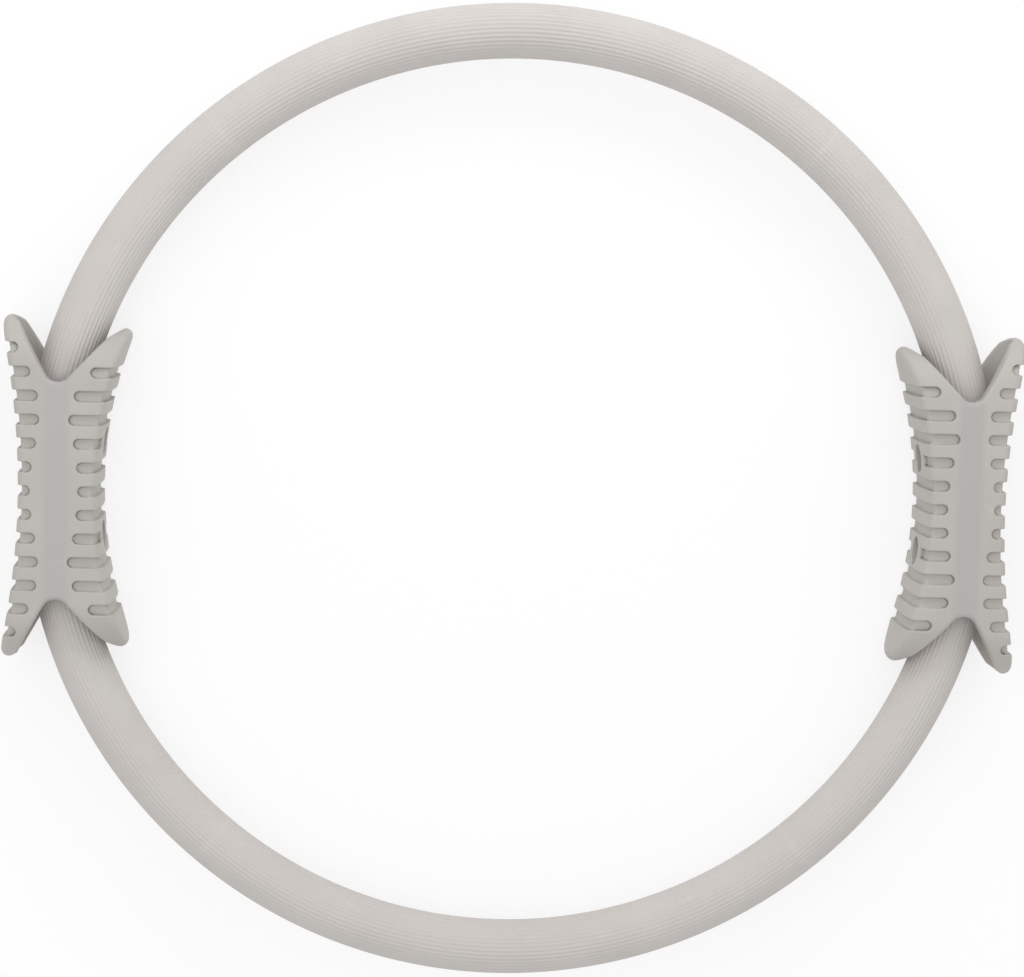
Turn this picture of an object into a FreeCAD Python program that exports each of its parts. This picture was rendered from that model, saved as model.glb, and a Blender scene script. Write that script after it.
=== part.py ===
import FreeCAD, Part
import math
import os

# Pilates ring lying flat: ring axis along +Z, the two hand grips on the X axis, the floor at Z = 0.
# Lengths are in millimetres and angles in degrees.

SIZES = [
    ("ring_radius", 170, "centreline of the sprung ring"),
    ("tube_diameter", 20, "foam sleeve over its ridges"),
    ("ridge_count", 40, "lengthwise ridges round the sleeve"),
    ("ridge_height", 0.2, "ridge crest above the valley"),
    ("strip_thickness", 4, "fibreglass strip, radial"),
    ("strip_width", 14, "fibreglass strip, along the ring axis"),
    ("strip_fit", 0.2, "clearance all round the strip in foam and core"),
    ("flex_offset", 35.5, "bending point of the strip, from the middle of the grip"),
    ("flex_gap", 0.6, "strip end to bending point"),
    ("crown_half_angle", 3, "half of the foam that bends at the crown"),
    ("crown_gap", 0.1, "butt gap between foam lengths"),
    ("grip_depth", 38, "grip along the ring axis"),
    ("inner_pad_rise", 9, "inner pad beyond the sleeve, at its middle"),
    ("outer_pad_rise", 0.5, "outer pad beyond the sleeve, at its middle"),
    ("inner_pad_radius", 157, "curve of the inner pad along its length"),
    ("outer_pad_radius", 280, "curve of the outer pad along its length"),
    ("inner_pad_crown", 1, "rise of the inner pad across the depth"),
    ("outer_pad_crown", 0.8, "rise of the outer pad across the depth"),
    ("inner_pad_length", 117, "inner pad, tip to tip"),
    ("outer_pad_length", 125.5, "outer pad, tip to tip"),
    ("pad_edge_round", 2.5, "edge between a pad and the front or back face"),
    ("pad_end_flat", 2, "straight tip of a rounded pad end"),
    ("spine_inset", 4, "middle of the spine inside the centreline"),
    ("pad_wall", 4.3, "cover thickness behind a pad"),
    ("side_wall", 5, "cover thickness at front and back"),
    ("trough_flat", 1, "flat bottom of the rounded trough inside the cover"),
    ("groove_pitch", 8.6, "spacing of the grip grooves"),
    ("groove_width", 3.9, "width of a groove"),
    ("groove_depth", 1.5, "depth of a groove"),
    ("notch_bottom", 39.5, "end of the spine from the middle of the grip"),
    ("notch_radius", 5, "rounded end of the spine"),
    ("inner_rim_angle", 43, "slope of the inner wing rim from the grip axis"),
    ("outer_rim_angle", 31, "slope of the outer wing rim at the spine"),
    ("outer_rim_radius", 300, "curve of the outer wing rim"),
    ("rim_flat", 0.2, "flat left between the rounds of a wing rim"),
    ("core_end_gap", 4, "core end to bending point"),
    ("core_fit", 0.15, "clearance between core and cover"),
    ("strip_end_gap", 16, "space between the two strip ends in the core"),
    ("screw_diameter", 5, "clamping screw"),
    ("screw_clearance", 0.25, "clearance round the screw shank"),
    ("screw_head_diameter", 9, "pan head"),
    ("screw_head_height", 3.2, "pan head"),
    ("screw_head_clearance", 0.75, "clearance round the head in its hole"),
    ("screw_seat_depth", 3.4, "spot face under the head"),
    ("socket_width", 3, "hexagon socket across flats"),
    ("socket_depth", 2, "hexagon socket"),
    ("nut_width", 8, "hexagon nut across flats"),
    ("nut_wall", 0.2, "core between the strip slot and the nut"),
    ("nut_fit", 0.15, "clearance round the nut in its pocket"),
    ("nut_recess", 0.6, "nut face below the core surface"),
]

# Half width of the smooth spine at each groove, from the middle groove outwards.
INNER_LANDS = [7.65, 7.2, 6.0, 4.2, 6.1, 11.9]
OUTER_LANDS = [9.4, 8.8, 7.35, 6.25, 6.8, 9.6, 14.2]
SCREW_GROOVE = 2

doc = FreeCAD.newDocument("pilates_ring")
sheet = doc.addObject("Spreadsheet::Sheet", "sizes")
for row, (alias, value, note) in enumerate(SIZES, start=1):
    sheet.set(f"A{row}", note)
    sheet.set(f"B{row}", str(value))
    sheet.setAlias(f"B{row}", alias)
doc.recompute()


def size(alias):
    return float(sheet.get(alias))


def vec(x, y, z=0.0):
    return FreeCAD.Vector(x, y, z)


def bind(obj, **sizes):
    for prop, expression in sizes.items():
        obj.setExpression(prop, expression)
    return obj


def add(kind, name, **props):
    obj = doc.addObject(kind, name)
    for prop, value in props.items():
        setattr(obj, prop, value)
    return obj


def cut(name, base, tool):
    return add("Part::Cut", name, Base=base, Tool=tool)


def common(name, *shapes):
    return add("Part::MultiCommon", name, Shapes=list(shapes))


def fuse(name, *shapes):
    return add("Part::MultiFuse", name, Shapes=list(shapes))


def group(name, *shapes):
    return add("Part::Compound", name, Links=list(shapes))


def mirror(name, source, normal, base=None):
    return add("Part::Mirroring", name, Source=source, Normal=normal, Base=base or vec(0, 0))


def feature(name, shape):
    return add("Part::Feature", name, Shape=shape)


def along(edge, axis):
    middle = (edge.FirstParameter + edge.LastParameter) / 2
    return abs(edge.tangentAt(middle).dot(axis)) > 0.99


def round_edges(name, source, radius, wanted):
    doc.recompute()
    numbers = [n for n, edge in enumerate(source.Shape.Edges, start=1) if wanted(edge)]
    return add("Part::Fillet", name, Base=source, Edges=[(n, radius, radius) for n in numbers])


def round_pads(name, source, radius):
    doc.recompute()
    pads = [face for face in source.Shape.Faces if isinstance(face.Surface, Part.Toroid)]
    borders = [edge for pad in pads for edge in pad.OuterWire.Edges]
    return round_edges(name, source, radius, lambda edge: any(edge.isSame(b) for b in borders))


def sketch(name, edges, placement=None):
    drawn = doc.addObject("Sketcher::SketchObject", name)
    drawn.addGeometry(edges, False)
    if placement:
        drawn.Placement = placement
    return drawn


def polygon(points):
    return [Part.LineSegment(a, b) for a, b in zip(points, points[1:] + points[:1])]


def body_sketch(body, plane_role, edges, name):
    drawn = body.newObject("Sketcher::SketchObject", name)
    plane = next(f for f in body.Origin.OriginFeatures if f.Role == plane_role)
    drawn.AttachmentSupport = (plane, "")
    drawn.MapMode = "FlatFace"
    drawn.addGeometry(edges, False)
    return drawn


UP = vec(0, 0, 1)
UPRIGHT = FreeCAD.Placement(vec(0, 0), FreeCAD.Rotation(vec(1, 0, 0), 90))
ACROSS_X = vec(1, 0, 0)
ACROSS_Y = vec(0, 1, 0)

mid_z = size("grip_depth") / 2
ring = size("ring_radius")
spine_x = ring - size("spine_inset")
inner_reach = size("tube_diameter") / 2 + size("inner_pad_rise")
outer_reach = size("tube_diameter") / 2 + size("outer_pad_rise")
flex_angle = math.degrees(math.asin(size("flex_offset") / ring))
screw_y = SCREW_GROOVE * size("groove_pitch")


# Strip and sleeve lengths, swept round the ring axis.

def band_edges(thickness, width):
    low = ring - thickness / 2
    high = ring + thickness / 2
    return polygon([
        vec(low, mid_z - width / 2),
        vec(high, mid_z - width / 2),
        vec(high, mid_z + width / 2),
        vec(low, mid_z + width / 2),
    ])


def sleeve_edges():
    crest = size("tube_diameter") / 2
    valley = crest - size("ridge_height")
    count = int(size("ridge_count"))

    def at(radius, turn):
        angle = 2 * math.pi * turn / count
        return vec(ring + radius * math.cos(angle), mid_z + radius * math.sin(angle))

    ridges = [Part.Arc(at(valley, n), at(crest, n + 0.5), at(valley, n + 1)) for n in range(count)]
    bore = band_edges(
        size("strip_thickness") + 2 * size("strip_fit"),
        size("strip_width") + 2 * size("strip_fit"),
    )
    return ridges + bore


def swept_body(name, edges, angle, start):
    body = doc.addObject("PartDesign::Body", name)
    profile = body_sketch(body, "XZ_Plane", edges, name + "_profile")
    sweep = body.newObject("PartDesign::Revolution", name + "_sweep")
    sweep.Profile = profile
    sweep.ReferenceAxis = (profile, ["V_Axis"])
    sweep.setExpression("Angle", angle)
    body.setExpression("Placement.Rotation.Angle", start)
    body.Placement.Rotation.Axis = UP
    return body


strip_edges = band_edges(size("strip_thickness"), size("strip_width"))
flex = "asin(sizes.flex_offset / sizes.ring_radius)"
gap = "asin(sizes.flex_gap / sizes.ring_radius)"
butt = "asin(sizes.crown_gap / sizes.ring_radius)"

upper_right_sleeve = swept_body(
    "upper_right_sleeve",
    sleeve_edges(),
    f"90deg - sizes.crown_half_angle * 1deg - {flex}",
    flex,
)
upper_crown_sleeve = swept_body(
    "upper_crown_sleeve",
    sleeve_edges(),
    f"2deg * sizes.crown_half_angle - 2 * {butt}",
    f"90deg - sizes.crown_half_angle * 1deg + {butt}",
)
upper_right_strip = swept_body(
    "upper_right_strip",
    strip_edges,
    f"90deg - {flex} - 2 * {gap}",
    f"{flex} + {gap}",
)


# Grip cover: two crowned saddles meet, the ends are rounded and the grooves wrap both pads.

def saddle(name, axis_x, rim_x, edge_x, far_x, half_depth):
    rim = Part.Arc(vec(edge_x, mid_z - half_depth), vec(rim_x, mid_z), vec(edge_x, mid_z + half_depth))
    edges = [
        rim,
        Part.LineSegment(vec(edge_x, mid_z + half_depth), vec(far_x, mid_z + half_depth)),
        Part.LineSegment(vec(far_x, mid_z + half_depth), vec(far_x, mid_z - half_depth)),
        Part.LineSegment(vec(far_x, mid_z - half_depth), vec(edge_x, mid_z - half_depth)),
    ]
    profile = sketch(name + "_profile", edges, UPRIGHT)
    return add(
        "Part::Revolution",
        name,
        Source=profile,
        Base=vec(axis_x, 0),
        Axis=UP,
        Angle=60,
        Symmetric=True,
        Solid=True,
    )


def saddle_pair(name, inset, depth_inset):
    half_depth = size("grip_depth") / 2 - depth_inset
    share = (half_depth / (size("grip_depth") / 2)) ** 2
    inner_rim = ring - inner_reach + inset
    outer_rim = ring + outer_reach - inset
    inner_axis = ring - inner_reach - size("inner_pad_radius")
    outer_axis = ring + outer_reach + size("outer_pad_radius")
    inner_edge = inner_rim + size("inner_pad_crown") * share
    outer_edge = outer_rim - size("outer_pad_crown") * share
    inner = saddle(name + "_inner", inner_axis, inner_rim, inner_edge, outer_rim + 40, half_depth)
    outer = saddle(name + "_outer", outer_axis, outer_rim, outer_edge, inner_rim - 40, half_depth)
    return inner, outer


def end_block(name, length, from_x, to_x, inset):
    block = add("Part::Box", name + "_block")
    block.Placement.Base = vec(from_x, inset - size(length) / 2, inset)
    block.Length = to_x - from_x
    bind(block, Width=f"sizes.{length} - 2 * {inset}", Height=f"sizes.grip_depth - 2 * {inset}")

    radius = (size("grip_depth") - size("pad_end_flat")) / 2 - inset
    return round_edges(name, block, radius, lambda edge: along(edge, ACROSS_X))


def grip_block(name, inset):
    inner, outer = saddle_pair(name + "_pad", inset, inset)
    ends = fuse(
        name + "_ends",
        end_block(name + "_inner_end", "inner_pad_length", spine_x - 50, spine_x, inset),
        end_block(name + "_outer_end", "outer_pad_length", spine_x, spine_x + 40, inset),
    )
    square = common(name + "_square", inner, outer, ends)
    return round_pads(name, square, size("pad_edge_round") - inset)


def groove(land, number, direction):
    half = size("groove_width") / 2
    end_x = spine_x + direction * (land + half)
    y = number * size("groove_pitch")
    end = Part.makeCylinder(half, 3 * mid_z, vec(end_x, y, -mid_z / 2))
    far_x = end_x + direction * 60
    run = Part.makeBox(60, 2 * half, 3 * mid_z, vec(min(end_x, far_x), y - half, -mid_z / 2))
    shape = end.fuse(run)
    if direction < 0 and abs(number) == SCREW_GROOVE:
        keep = size("screw_head_diameter") / 2 + size("screw_head_clearance") + size("groove_width")
        around = Part.makeCylinder(keep, 80, vec(spine_x - 60, y, mid_z), vec(1, 0, 0))
        shape = shape.cut(around)
    return shape


grooves = []
for number in range(-6, 7):
    grooves.append(groove(OUTER_LANDS[abs(number)], number, 1))
for number in range(-5, 6):
    grooves.append(groove(INNER_LANDS[abs(number)], number, -1))
groove_tools = feature("groove_tools", Part.makeCompound(grooves))

blank = grip_block("cover_blank", 0)
floor = grip_block("groove_floor", size("groove_depth"))
groove_cuts = cut("groove_cuts", groove_tools, floor)


def trough(name, gap):
    depth_inset = size("side_wall") + gap
    corner = (size("grip_depth") - size("trough_flat")) / 2 - depth_inset
    inner, outer = saddle_pair(name + "_pad", size("pad_wall") + gap, depth_inset)
    return common(
        name,
        round_pads(name + "_inner", inner, corner),
        round_pads(name + "_outer", outer, corner),
    )


cavity = trough("cover_cavity", 0)


def notch_edges():
    radius = size("notch_radius")
    centre = vec(spine_x, size("notch_bottom") + radius)
    inner = math.radians(size("inner_rim_angle"))
    outer = math.radians(size("outer_rim_angle"))
    curve = size("outer_rim_radius")
    inner_start = centre + vec(-math.cos(inner), -math.sin(inner)) * radius
    inner_far = inner_start + vec(-math.sin(inner), math.cos(inner)) * 60
    outer_start = centre + vec(math.cos(outer), -math.sin(outer)) * radius
    rim_centre = outer_start + vec(-math.cos(outer), math.sin(outer)) * curve
    sweep = math.radians(40)
    middle = rim_centre + vec(math.cos(outer - sweep / 2), -math.sin(outer - sweep / 2)) * curve
    outer_far = rim_centre + vec(math.cos(outer - sweep), -math.sin(outer - sweep)) * curve
    top = inner_far.y + 20
    return [
        Part.Arc(inner_start, centre + vec(0, -radius), outer_start),
        Part.Arc(outer_start, middle, outer_far),
        Part.LineSegment(outer_far, vec(outer_far.x, top)),
        Part.LineSegment(vec(outer_far.x, top), vec(inner_far.x, top)),
        Part.LineSegment(vec(inner_far.x, top), inner_far),
        Part.LineSegment(inner_far, inner_start),
    ]


upper_notch = add(
    "Part::Extrusion",
    "upper_notch",
    Base=sketch("notch_outline", notch_edges()),
    DirMode="Custom",
    Dir=UP,
    Solid=True,
)
bind(upper_notch, LengthFwd="sizes.grip_depth + 10", LengthRev="10")
lower_notch = mirror("lower_notch", upper_notch, ACROSS_Y)


def bore(name, diameter, from_x, length):
    hole = add("Part::Cylinder", name)
    hole.Placement = FreeCAD.Placement(
        vec(from_x, screw_y, mid_z), FreeCAD.Rotation(vec(0, 1, 0), 90)
    )
    hole.Height = length
    bind(hole, Radius=f"({diameter}) / 2")
    return group(name + "_pair", hole, mirror(name + "_twin", hole, ACROSS_Y))


def is_notch_wall(face):
    surface = face.Surface
    if isinstance(surface, Part.Cylinder):
        return abs(surface.Axis.z) > 0.99
    return isinstance(surface, Part.Plane) and abs(surface.Axis.z) < 0.01 and abs(surface.Axis.x) > 0.1


def is_pad_end(face):
    surface = face.Surface
    if isinstance(surface, Part.Cylinder):
        return abs(surface.Axis.x) > 0.99
    return isinstance(surface, Part.Plane) and abs(surface.Axis.y) > 0.99


def round_rims(name, source, radius):
    doc.recompute()
    rims = []
    for face in source.Shape.Faces:
        if is_notch_wall(face):
            rims += [edge for edge in face.Edges if not along(edge, UP)]
        elif is_pad_end(face):
            reach = abs(face.CenterOfMass.x - spine_x)
            across = [edge for edge in face.Edges if not along(edge, ACROSS_X)]
            rims += [edge for edge in across if abs(edge.CenterOfMass.x - spine_x) < reach]
    rounded = round_edges(name, source, radius, lambda edge: any(edge.isSame(rim) for rim in rims))
    doc.recompute()
    if rounded.Shape.isNull() or not rounded.Shape.isValid():
        # A rim whose edges are shorter than the round stays square.
        doc.removeObject(rounded.Name)
        return source
    return rounded


head_space = "sizes.screw_head_diameter + 2 * sizes.screw_head_clearance"
head_holes = bore("head_hole", head_space, spine_x - 40, 40)
hollow = cut("cover_hollow", blank, cavity)
notched = cut("cover_notched", cut("cover_upper", hollow, upper_notch), lower_notch)
rim_round = min(size("pad_wall") - size("pad_edge_round"), size("side_wall") / 2) - size("rim_flat")
rounded = round_rims("cover_rounded", notched, rim_round)
grooved = cut("cover_grooved", rounded, groove_cuts)
right_grip_cover = cut("right_grip_cover", grooved, head_holes)


# Grip core: fills the middle of the cover and holds both strip ends.

core_half_length = size("flex_offset") - size("core_end_gap")
core_span = add("Part::Box", "core_span")
core_span.Placement.Base = vec(spine_x - 40, -core_half_length, 0)
core_span.Length = 80
bind(core_span, Width="2 * (sizes.flex_offset - sizes.core_end_gap)", Height="sizes.grip_depth")
core_block = common("core_block", trough("core_fill", size("core_fit")), core_span)

strip_end_angle = math.degrees(math.asin(size("strip_end_gap") / 2 / ring))


def swept_pair(name, edges, from_angle, to_angle):
    profile = sketch(name + "_profile", edges, UPRIGHT)
    length = add("Part::Revolution", name + "_length", Source=profile, Axis=UP, Solid=True)
    length.Angle = to_angle - from_angle
    length.Placement.Rotation = FreeCAD.Rotation(UP, from_angle)
    return length, mirror(name + "_twin", length, ACROSS_Y)


slot_edges = band_edges(
    size("strip_thickness") + 2 * size("strip_fit"),
    size("strip_width") + 2 * size("strip_fit"),
)
fit_angle = math.degrees(size("strip_fit") / ring)
slots = group(
    "strip_slots",
    *swept_pair("strip_slot", slot_edges, strip_end_angle - fit_angle, flex_angle + 5),
)

shank_holes = bore("shank_hole", "sizes.screw_diameter + 2 * sizes.screw_clearance", spine_x - 40, 80)


def pad_surface(direction, inset, y):
    reach = inner_reach if direction < 0 else outer_reach
    radius = (size("inner_pad_radius") if direction < 0 else size("outer_pad_radius")) + inset
    axis_x = ring + direction * (reach + radius - inset)
    return axis_x - direction * math.sqrt(radius ** 2 - y ** 2)


core_inset = size("pad_wall") + size("core_fit")
seat_x = pad_surface(-1, core_inset, screw_y) + size("screw_seat_depth")
slot_reach = ring + size("strip_thickness") / 2 + size("strip_fit")
nut_corner_y = screw_y - size("nut_width") / math.sqrt(3)
nut_x = math.sqrt(slot_reach ** 2 - nut_corner_y ** 2) + size("nut_wall")
nut_height = pad_surface(1, core_inset, screw_y) - size("nut_recess") - nut_x
seats = bore("head_seat", head_space, seat_x - 20, 20)


def hexagon(across, centre_y=0.0, centre_z=0.0):
    corner = across / math.sqrt(3)
    turns = [math.radians(60 * n) for n in range(6)]
    return [vec(centre_y + corner * math.cos(a), centre_z + corner * math.sin(a)) for a in turns]


# Local X of a fastener body runs along its axis, from the inner pad to the outer pad.

def fastener(name, x):
    body = doc.addObject("PartDesign::Body", name)
    body.Placement.Base = vec(x, screw_y, mid_z)
    return body


def padded(body, edges, name, length):
    drawn = body_sketch(body, "YZ_Plane", edges, name + "_outline")
    pad = body.newObject("PartDesign::Pad", name)
    pad.Profile = drawn
    pad.setExpression("Length", length)
    return pad


pocket_body = fastener("nut_pocket", nut_x)
pocket_hexagon = hexagon(size("nut_width") + 2 * size("nut_fit"))
padded(pocket_body, polygon(pocket_hexagon), "nut_pocket_pad", "sizes.tube_diameter")
pockets = group("nut_pockets", pocket_body, mirror("nut_pocket_twin", pocket_body, ACROSS_Y))

core_slotted = cut("core_slotted", core_block, slots)
core_bored = cut("core_bored", core_slotted, shank_holes)
core_seated = cut("core_seated", core_bored, seats)
right_grip_core = cut("right_grip_core", core_seated, pockets)

flex_gap_angle = math.degrees(math.asin(size("flex_gap") / ring))
end_pair = swept_pair("strip_end", strip_edges, strip_end_angle, flex_angle - flex_gap_angle)
right_strip_ends = cut("right_strip_ends", group("strip_end_pair", *end_pair), shank_holes)

screw_body = fastener("clamp_screw", seat_x)
head_half = size("screw_head_diameter") / 2
head = size("screw_head_height")
shank_half = size("screw_diameter") / 2
shank_end = nut_x + nut_height - seat_x
dome_rise = 0.45 * head
dome_radius = (dome_rise ** 2 + head_half ** 2) / (2 * dome_rise)
dome_middle = dome_radius - head - math.sqrt(dome_radius ** 2 - (head_half / 2) ** 2)
dome_edge = vec(dome_rise - head, head_half)
screw_profile = body_sketch(
    screw_body,
    "XY_Plane",
    [
        Part.Arc(vec(-head, 0), vec(dome_middle, head_half / 2), dome_edge),
        Part.LineSegment(dome_edge, vec(0, head_half)),
        Part.LineSegment(vec(0, head_half), vec(0, shank_half)),
        Part.LineSegment(vec(0, shank_half), vec(shank_end, shank_half)),
        Part.LineSegment(vec(shank_end, shank_half), vec(shank_end, 0)),
        Part.LineSegment(vec(shank_end, 0), vec(-head, 0)),
    ],
    "clamp_screw_profile",
)
screw_turned = screw_body.newObject("PartDesign::Revolution", "clamp_screw_turned")
screw_turned.Profile = screw_profile
screw_turned.ReferenceAxis = (screw_profile, ["H_Axis"])
screw_turned.Angle = 360
socket_outline = body_sketch(screw_body, "YZ_Plane", polygon(hexagon(size("socket_width"))), "socket_outline")
socket_outline.AttachmentOffset = FreeCAD.Placement(vec(0, 0, -head), FreeCAD.Rotation())
socket = screw_body.newObject("PartDesign::Pocket", "clamp_screw_socket")
socket.Profile = socket_outline
socket.Reversed = True
socket.setExpression("Length", "sizes.socket_depth")
right_grip_screws = group(
    "right_grip_screws", screw_body, mirror("clamp_screw_twin", screw_body, ACROSS_Y)
)

nut_body = fastener("clamp_nut", nut_x)
nut_hole = Part.Circle(vec(0, 0), UP, size("screw_diameter") / 2)
padded(nut_body, polygon(hexagon(size("nut_width"))) + [nut_hole], "clamp_nut_pad", str(nut_height))
right_grip_nuts = group("right_grip_nuts", nut_body, mirror("clamp_nut_twin", nut_body, ACROSS_Y))


# The other quarters of the ring and the other grip are mirror images.

right_side = [right_grip_cover, right_grip_core, right_strip_ends, right_grip_screws, right_grip_nuts]
nodes = list(right_side)
for twin in right_side:
    nodes.append(mirror(twin.Name.replace("right", "left"), twin, ACROSS_X))
for quarter in (upper_right_sleeve, upper_right_strip):
    upper_left = mirror(quarter.Name.replace("right", "left"), quarter, ACROSS_X)
    lower_right = mirror(quarter.Name.replace("upper", "lower"), quarter, ACROSS_Y)
    lower_left = mirror(upper_left.Name.replace("upper", "lower"), upper_left, ACROSS_Y)
    nodes += [quarter, upper_left, lower_right, lower_left]
lower_crown_sleeve = mirror("lower_crown_sleeve", upper_crown_sleeve, ACROSS_Y)
nodes += [upper_crown_sleeve, lower_crown_sleeve]

doc.recompute()
for obj in doc.Objects:
    if "Invalid" in obj.State or "Error" in obj.State:
        raise RuntimeError(f"{obj.Label} did not rebuild")
os.makedirs("parts", exist_ok=True)
for node in nodes:
    node.Label = node.Name
    if node.Shape.isNull() or not node.Shape.isValid():
        raise RuntimeError(f"{node.Label} has no valid shape")
    node.Shape.exportStep(f"parts/{node.Label}.step")
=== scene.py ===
import math

import bmesh
import bpy
from mathutils import Matrix, Vector

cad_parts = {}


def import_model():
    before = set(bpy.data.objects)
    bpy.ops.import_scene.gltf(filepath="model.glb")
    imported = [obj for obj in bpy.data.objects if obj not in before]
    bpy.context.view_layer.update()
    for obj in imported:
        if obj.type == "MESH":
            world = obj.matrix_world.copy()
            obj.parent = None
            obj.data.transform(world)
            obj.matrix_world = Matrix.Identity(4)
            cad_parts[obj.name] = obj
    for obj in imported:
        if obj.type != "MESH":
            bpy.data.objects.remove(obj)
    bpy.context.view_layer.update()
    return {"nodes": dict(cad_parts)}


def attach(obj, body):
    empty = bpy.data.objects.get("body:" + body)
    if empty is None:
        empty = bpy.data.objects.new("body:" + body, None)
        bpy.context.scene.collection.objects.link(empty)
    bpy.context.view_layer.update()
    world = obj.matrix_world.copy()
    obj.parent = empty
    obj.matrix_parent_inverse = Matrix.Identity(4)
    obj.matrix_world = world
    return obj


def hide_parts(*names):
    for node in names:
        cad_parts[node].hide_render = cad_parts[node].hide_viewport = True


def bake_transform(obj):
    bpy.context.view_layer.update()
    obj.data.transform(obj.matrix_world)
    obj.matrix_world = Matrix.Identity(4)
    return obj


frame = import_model()

MM = 0.001

# Ring, in metres, in the frame of the CAD model.
RING_RADIUS = 170 * MM
MID_PLANE = 19 * MM
FLEX_OFFSET = 35.5 * MM
FLEX_ANGLE = math.asin(FLEX_OFFSET / RING_RADIUS)

# Foam sleeve, with a slot for the strip through it.
TUBE_RADIUS = 10 * MM
RIDGE_COUNT = 40
RIDGE_HEIGHT = 0.2 * MM
POINTS_PER_RIDGE = 6
SLOT_THICKNESS = 4.4 * MM
SLOT_WIDTH = 14.4 * MM
SEAM_ANGLE = math.radians(50)
SLEEVE_STEP = math.radians(0.5)
SHARP_ANGLE = math.radians(40)

# Where the foam bends: from the grip to this angle, and this far to each side of a crown.
# Angle from the grip at which a bend of the foam would end; each length computes it, but nothing uses
# it.
EXIT_BEND_END = math.radians(24)
OPEN_END = "lower_right_arc"  # no joint ties this end of the ring to its grip

# Grip covers are softened from the CAD solids, as moulded rubber is.
WELD_DISTANCE = 0.001 * MM
COVER_VOXEL = 0.3 * MM
COVER_SMOOTHING = 2
SMOOTHING_FACTOR = 0.5
COVER_FACES = 190_000

# Smooth spine down the middle of a grip.
SPINE_X = 166 * MM
SPINE_HALF_WIDTH = 3 * MM
SPINE_FADE = 3 * MM

# Pointiness of a flat surface, and the steps from it between which hollows get painted shade and
# crests a painted highlight.
FLAT = 0.5
EDGE_BENDS = (-0.045, -0.012, 0.03, 0.08)

# Noise levels at which mottled colour is all dark and all light.
MOTTLE_ENDS = (0.3, 0.7)
MOTTLE_DETAIL = 4.0
GRAIN_DETAIL = 3.0

# Camera of the photograph, above the ring and a little to its upper left. Turns are in degrees,
# and the lens and the sensor in millimetres.
CAMERA_PLACE = Vector((-50.0, 106.2, 1061.7)) * MM
CAMERA_TURN = (-5.73, -2.565, 1.47)
CAMERA_LENS = 99.8
CAMERA_CLIP_START = 10 * MM
SENSOR_WIDTH = 36

# Studio: the world and the lamps together light a level surface at about 1.
SKY_STRENGTH = 0.78
FLOOR_GLOW = 0.75
FLOOR_HALF_SIZE = 3.0


def add_object(name, bm):
    mesh = bpy.data.meshes.new(name)
    bm.to_mesh(mesh)
    bm.free()
    obj = bpy.data.objects.new(name, mesh)
    bpy.context.scene.collection.objects.link(obj)
    mesh.shade_smooth()
    return obj


# Materials

def link(tree, source, output, target, socket):
    tree.links.new(source.outputs[output], target.inputs[socket])


def plain_material(name, colour, roughness, metallic=0.0):
    material = bpy.data.materials.new(name)
    material.use_nodes = True
    shader = material.node_tree.nodes["Principled BSDF"]
    shader.inputs["Base Color"].default_value = (*colour, 1.0)
    shader.inputs["Roughness"].default_value = roughness
    shader.inputs["Metallic"].default_value = metallic
    return material


def noise_on_piece(tree, scale, detail):
    """Noise that is fixed to the piece."""
    place = tree.nodes.new("ShaderNodeTexCoord")
    noise = tree.nodes.new("ShaderNodeTexNoise")
    noise.inputs["Scale"].default_value = scale
    noise.inputs["Detail"].default_value = detail
    link(tree, place, "Object", noise, "Vector")
    return noise


def mottle(material, dark, light, scale):
    """Soft uneven colour over a piece, between two shades."""
    tree = material.node_tree
    noise = noise_on_piece(tree, scale, MOTTLE_DETAIL)
    ramp = tree.nodes.new("ShaderNodeValToRGB")
    for stop, level, shade in zip(ramp.color_ramp.elements, MOTTLE_ENDS, (dark, light)):
        stop.position = level
        stop.color = (*shade, 1.0)
    link(tree, noise, "Fac", ramp, "Fac")
    link(tree, ramp, "Color", tree.nodes["Principled BSDF"], "Base Color")


def grain(material, scale, distance, strength):
    """Fine surface texture that the moulding or foaming leaves."""
    tree = material.node_tree
    noise = noise_on_piece(tree, scale, GRAIN_DETAIL)
    bump = tree.nodes.new("ShaderNodeBump")
    bump.inputs["Strength"].default_value = strength
    bump.inputs["Distance"].default_value = distance
    link(tree, noise, "Fac", bump, "Height")
    link(tree, bump, "Normal", tree.nodes["Principled BSDF"], "Normal")


def paint_edge_shade_and_highlight(material, hollow_shade, crest_highlight):
    """Paint shade into the hollows of a surface and a highlight onto its crests, by its pointiness.
    """
    tree = material.node_tree
    shader = tree.nodes["Principled BSDF"]
    shape = tree.nodes.new("ShaderNodeNewGeometry")
    ramp = tree.nodes.new("ShaderNodeValToRGB")
    stops = ramp.color_ramp.elements
    while len(stops) < len(EDGE_BENDS):
        stops.new(1.0)
    for stop, bend, tone in zip(stops, EDGE_BENDS, (hollow_shade, 1.0, 1.0, crest_highlight)):
        stop.position = FLAT + bend
        stop.color = (tone, tone, tone, 1.0)
    # Painted shade and highlight: the even colour times a tone read from pointiness.
    shaded = tree.nodes.new("ShaderNodeVectorMath")
    shaded.operation = "MULTIPLY"
    even = shader.inputs["Base Color"].links[0].from_socket
    link(tree, shape, "Pointiness", ramp, "Fac")
    tree.links.new(even, shaded.inputs[0])
    tree.links.new(ramp.outputs["Color"], shaded.inputs[1])
    link(tree, shaded, "Vector", shader, "Base Color")


def in_use(sockets, name):
    """The socket of that name which the data type of the node has switched on."""
    return next(s for s in sockets if s.name == name and s.enabled)


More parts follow.
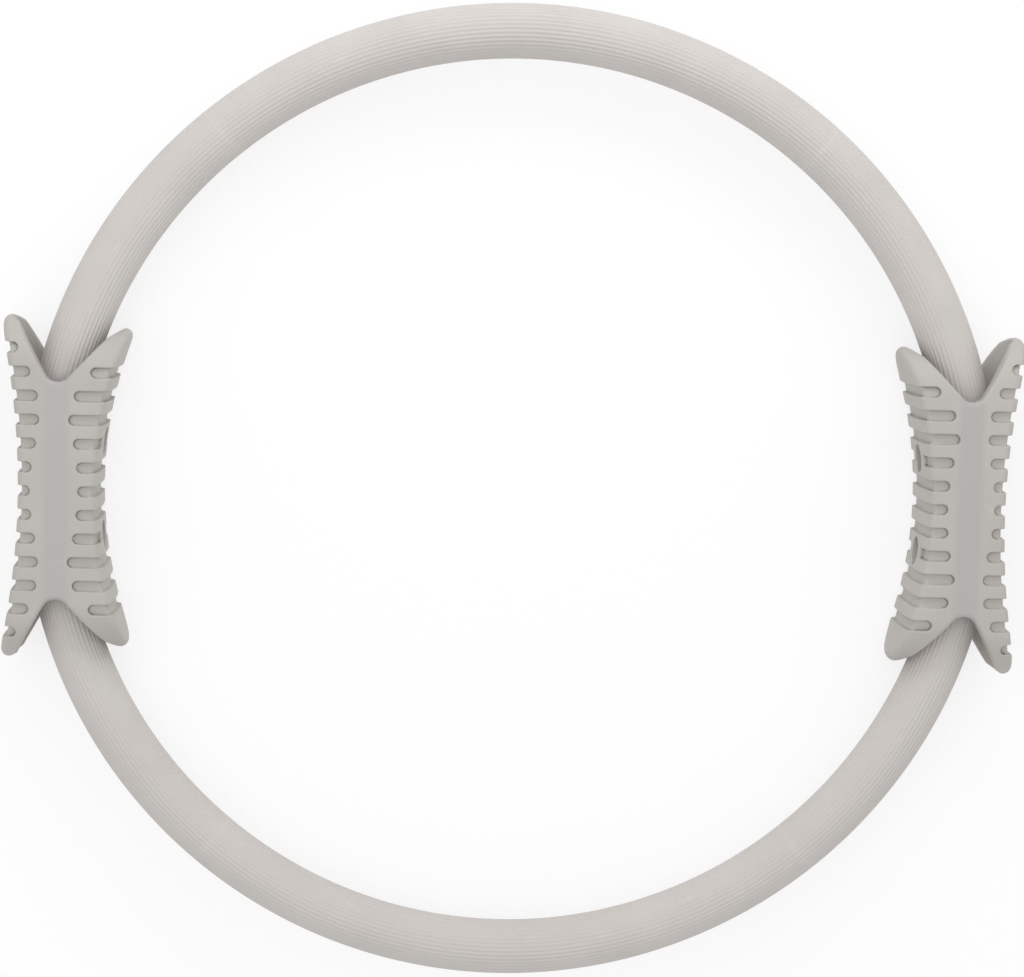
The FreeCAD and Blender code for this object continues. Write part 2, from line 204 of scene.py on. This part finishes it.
def spine_mask(tree):
    """1 along the middle of a grip, seen from the front, fading to 0 at its ribs."""
    place = tree.nodes.new("ShaderNodeTexCoord")
    axes = tree.nodes.new("ShaderNodeSeparateXYZ")
    link(tree, place, "Object", axes, "Vector")
    across = axes.outputs["X"]
    for operation in ("ABSOLUTE", "SUBTRACT", "ABSOLUTE"):
        step = tree.nodes.new("ShaderNodeMath")
        step.operation = operation
        tree.links.new(across, step.inputs[0])
        step.inputs[1].default_value = SPINE_X
        across = step.outputs[0]
    fade = tree.nodes.new("ShaderNodeMapRange")
    fade.interpolation_type = "SMOOTHSTEP"
    fade.inputs["From Min"].default_value = SPINE_HALF_WIDTH + SPINE_FADE
    fade.inputs["From Max"].default_value = SPINE_HALF_WIDTH
    tree.links.new(across, fade.inputs["Value"])
    return fade.outputs["Result"]


def polish_spine(material, colour, roughness):
    """Make the smooth middle of a grip a little pinker and glossier than its ribs."""
    tree = material.node_tree
    shader = tree.nodes["Principled BSDF"]
    on_spine = spine_mask(tree)
    tint = tree.nodes.new("ShaderNodeMix")
    tint.data_type = "RGBA"
    ribs = shader.inputs["Base Color"].links[0].from_socket
    tree.links.new(ribs, in_use(tint.inputs, "A"))
    in_use(tint.inputs, "B").default_value = (*colour, 1.0)
    gloss = tree.nodes.new("ShaderNodeMix")
    in_use(gloss.inputs, "A").default_value = shader.inputs["Roughness"].default_value
    in_use(gloss.inputs, "B").default_value = roughness
    for mix, target in ((tint, "Base Color"), (gloss, "Roughness")):
        tree.links.new(on_spine, in_use(mix.inputs, "Factor"))
        tree.links.new(in_use(mix.outputs, "Result"), shader.inputs[target])


def foam_material():
    material = plain_material("sleeve_foam", colour=(0.545, 0.516, 0.494), roughness=0.72)
    mottle(material, dark=(0.53, 0.502, 0.48), light=(0.56, 0.53, 0.508), scale=45)
    # Painted shade in the valleys between the ridges and a painted highlight on their tops.
    paint_edge_shade_and_highlight(material, hollow_shade=0.87, crest_highlight=1.04)
    grain(material, scale=2600, distance=0.1 * MM, strength=0.4)
    return material


def rubber_material():
    material = plain_material("grip_rubber", colour=(0.44, 0.421, 0.394), roughness=0.6)
    mottle(material, dark=(0.427, 0.409, 0.38), light=(0.453, 0.433, 0.407), scale=60)
    polish_spine(material, colour=(0.405, 0.383, 0.372), roughness=0.45)
    # Painted shade along the grooves and holes and a painted highlight on the rims and rib edges.
    paint_edge_shade_and_highlight(material, hollow_shade=0.42, crest_highlight=1.1)
    grain(material, scale=3500, distance=0.06 * MM, strength=0.35)
    return material


def fibreglass_material():
    material = plain_material("fibreglass", colour=(0.55, 0.53, 0.42), roughness=0.45)
    mottle(material, dark=(0.5, 0.48, 0.37), light=(0.6, 0.58, 0.47), scale=300)
    return material


def core_material():
    material = plain_material("core_plastic", colour=(0.09, 0.09, 0.09), roughness=0.5)
    grain(material, scale=2000, distance=0.05 * MM, strength=0.3)
    return material


def steel_material():
    material = plain_material("zinc_steel", colour=(0.5, 0.5, 0.5), roughness=0.38, metallic=1.0)
    grain(material, scale=1500, distance=0.02 * MM, strength=0.3)
    return material


FOAM = foam_material()
RUBBER = rubber_material()
FIBREGLASS = fibreglass_material()
CORE = core_material()
STEEL = steel_material()


def paint(obj, material):
    obj.data.materials.clear()
    obj.data.materials.append(material)


# Foam sleeve: a ridged section with a slot for the strip, spun round the ring axis.


def ridged_outline():
    """Places round the tube, outward from the ring's mid line and up from its mid plane."""
    count = RIDGE_COUNT * POINTS_PER_RIDGE
    for n in range(count):
        turn = 2 * math.pi * n / count
        radius = TUBE_RADIUS - RIDGE_HEIGHT * (0.5 + 0.5 * math.cos(RIDGE_COUNT * turn))
        yield radius * math.cos(turn), radius * math.sin(turn)


def slot_outline():
    for x, z in ((-1, -1), (1, -1), (1, 1), (-1, 1)):
        yield x * SLOT_THICKNESS / 2, z * SLOT_WIDTH / 2


def sleeve_section(bm, angle):
    across = Matrix.Rotation(angle, 4, "Z")
    edges = []
    for outline in (ridged_outline(), slot_outline()):
        loop = []
        for outward, up in outline:
            point = Vector((RING_RADIUS + outward, 0, MID_PLANE + up))
            loop.append(bm.verts.new(across @ point))
        for a, b in zip(loop, loop[1:] + loop[:1]):
            edges.append(bm.edges.new((a, b)))
    filled = bmesh.ops.triangle_fill(bm, use_beauty=True, edges=edges)
    return [g for g in filled["geom"] if isinstance(g, bmesh.types.BMFace)]


def sleeve(name, start, end):
    bm = bmesh.new()
    section = sleeve_section(bm, start)
    bmesh.ops.spin(
        bm,
        geom=section,
        cent=(0, 0, 0),
        axis=(0, 0, 1),
        angle=end - start,
        steps=round(abs(end - start) / SLEEVE_STEP),
        use_duplicate=False,
    )
    bmesh.ops.recalc_face_normals(bm, faces=bm.faces)
    for edge in bm.edges:
        edge.smooth = edge.calc_face_angle(0.0) < SHARP_ANGLE
    obj = add_object(name, bm)
    paint(obj, FOAM)
    return obj


def sleeve_half(half, sign):
    """The three lengths of one half of the ring: sign is 1 above and -1 below."""
    for side in ("right", "left"):
        start, bend_end, seam = (
            sign * (angle if side == "right" else math.pi - angle)
            for angle in (FLEX_ANGLE, EXIT_BEND_END, SEAM_ANGLE)
        )
        arc = f"{half}_{side}_arc"
        length = sleeve(f"{half}_{side}_foam", start, seam)
        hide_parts(f"{half}_{side}_sleeve")
        if arc == OPEN_END:
            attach(length, arc)
        else:
            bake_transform(length)
    crown = sleeve(f"{half}_crown_foam", sign * SEAM_ANGLE, sign * (math.pi - SEAM_ANGLE))
    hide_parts(f"{half}_left_sleeve", f"{half}_right_sleeve", f"{half}_crown_sleeve")
    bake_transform(crown)


sleeve_half("upper", 1)
sleeve_half("lower", -1)


# Grip covers: copies of the CAD solids with their edges softened.

def soften(obj):
    """Rebuild the surface from small even cells and smooth it."""
    remesh = obj.modifiers.new("remesh", "REMESH")
    remesh.mode = "VOXEL"
    remesh.voxel_size = COVER_VOXEL
    remesh.use_smooth_shade = True
    smooth = obj.modifiers.new("smooth", "SMOOTH")
    smooth.iterations = COVER_SMOOTHING
    smooth.factor = SMOOTHING_FACTOR
    settled = bpy.data.meshes.new_from_object(
        obj.evaluated_get(bpy.context.evaluated_depsgraph_get())
    )
    obj.modifiers.clear()
    obj.data = settled
    obj.data.shade_smooth()


def thin_out(obj):
    """Leave fewer triangles where the surface is nearly flat."""
    thin = obj.modifiers.new("thin", "DECIMATE")
    triangles = sum(len(p.vertices) - 2 for p in obj.data.polygons)
    thin.ratio = min(1.0, COVER_FACES / triangles)


def soft_cover(side):
    node = frame["nodes"][f"{side}_grip_cover"]
    bm = bmesh.new()
    bm.from_mesh(node.data)
    bmesh.ops.remove_doubles(bm, verts=bm.verts, dist=WELD_DISTANCE)
    obj = add_object(f"{side}_cover", bm)
    soften(obj)
    thin_out(obj)
    paint(obj, RUBBER)
    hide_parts(node.name)
    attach(obj, f"{side}_grip")


soft_cover("left")
soft_cover("right")


# CAD nodes, by the last word of their names.

MATERIAL_OF = {
    "sleeve": FOAM,
    "cover": RUBBER,
    "strip": FIBREGLASS,
    "ends": FIBREGLASS,
    "core": CORE,
    "screws": STEEL,
    "nuts": STEEL,
}
for name, node in frame["nodes"].items():
    paint(node, MATERIAL_OF[name.rsplit("_", 1)[1]])


# Studio

def seen(tree):
    """1 for what the camera sees, directly or in a reflection, and 0 for light on the object."""
    rays = tree.nodes.new("ShaderNodeLightPath")
    seen_by = rays.outputs["Is Camera Ray"]
    for kind in ("Is Glossy Ray", "Is Transmission Ray"):
        either = tree.nodes.new("ShaderNodeMath")
        either.operation = "MAXIMUM"
        tree.links.new(seen_by, either.inputs[0])
        tree.links.new(rays.outputs[kind], either.inputs[1])
        seen_by = either.outputs[0]
    return seen_by


def floor_material():
    material = plain_material("studio_white", colour=(0.95, 0.95, 0.95), roughness=0.9)
    tree = material.node_tree
    glow = tree.nodes.new("ShaderNodeEmission")
    share = tree.nodes.new("ShaderNodeMath")
    share.operation = "MULTIPLY"
    share.inputs[1].default_value = FLOOR_GLOW
    mix = tree.nodes.new("ShaderNodeMixShader")
    tree.links.new(seen(tree), share.inputs[0])
    tree.links.new(share.outputs[0], mix.inputs["Fac"])
    tree.links.new(tree.nodes["Principled BSDF"].outputs["BSDF"], mix.inputs[1])
    tree.links.new(glow.outputs["Emission"], mix.inputs[2])
    link(tree, mix, "Shader", tree.nodes["Material Output"], "Surface")
    return material


def floor():
    bm = bmesh.new()
    bmesh.ops.create_grid(bm, x_segments=1, y_segments=1, size=FLOOR_HALF_SIZE)
    obj = add_object("studio_floor", bm)
    paint(obj, floor_material())


def world():
    """A plain sky that lights at SKY_STRENGTH and looks white."""
    sky = bpy.data.worlds.new("studio")
    sky.use_nodes = True
    tree = sky.node_tree
    strength = tree.nodes.new("ShaderNodeMath")
    strength.operation = "MULTIPLY_ADD"
    strength.inputs[1].default_value = 1 - SKY_STRENGTH
    strength.inputs[2].default_value = SKY_STRENGTH
    background = tree.nodes["Background"]
    background.inputs["Color"].default_value = (1, 1, 1, 1)
    tree.links.new(seen(tree), strength.inputs[0])
    tree.links.new(strength.outputs[0], background.inputs["Strength"])
    bpy.context.scene.world = sky


def area_light(name, place, target, width, height, power):
    data = bpy.data.lights.new(name, "AREA")
    data.shape = "RECTANGLE"
    data.size = width
    data.size_y = height
    data.energy = power
    obj = bpy.data.objects.new(name, data)
    obj.location = place
    obj.rotation_euler = (Vector(target) - Vector(place)).to_track_quat("-Z", "Y").to_euler()
    obj.visible_camera = False
    bpy.context.scene.collection.objects.link(obj)


def lamps():
    area_light(
        "overhead", place=(-0.3, 0.1, 1.2), target=(0, 0, 0), width=1.0, height=1.0, power=3.0
    )
    area_light(
        "far_side", place=(0.08, 0.6, 0.36), target=(0, 0.1, 0.02), width=0.9, height=0.25, power=1.7
    )


def camera():
    data = bpy.data.cameras.new("photo")
    data.sensor_fit = "HORIZONTAL"
    data.sensor_width = SENSOR_WIDTH
    data.lens = CAMERA_LENS
    data.clip_start = CAMERA_CLIP_START
    obj = bpy.data.objects.new("photo", data)
    obj.location = CAMERA_PLACE
    obj.rotation_euler = [math.radians(turn) for turn in CAMERA_TURN]
    bpy.context.scene.collection.objects.link(obj)
    bpy.context.scene.camera = obj


floor()
world()
lamps()
camera()
bpy.context.scene.view_settings.view_transform = "Standard"
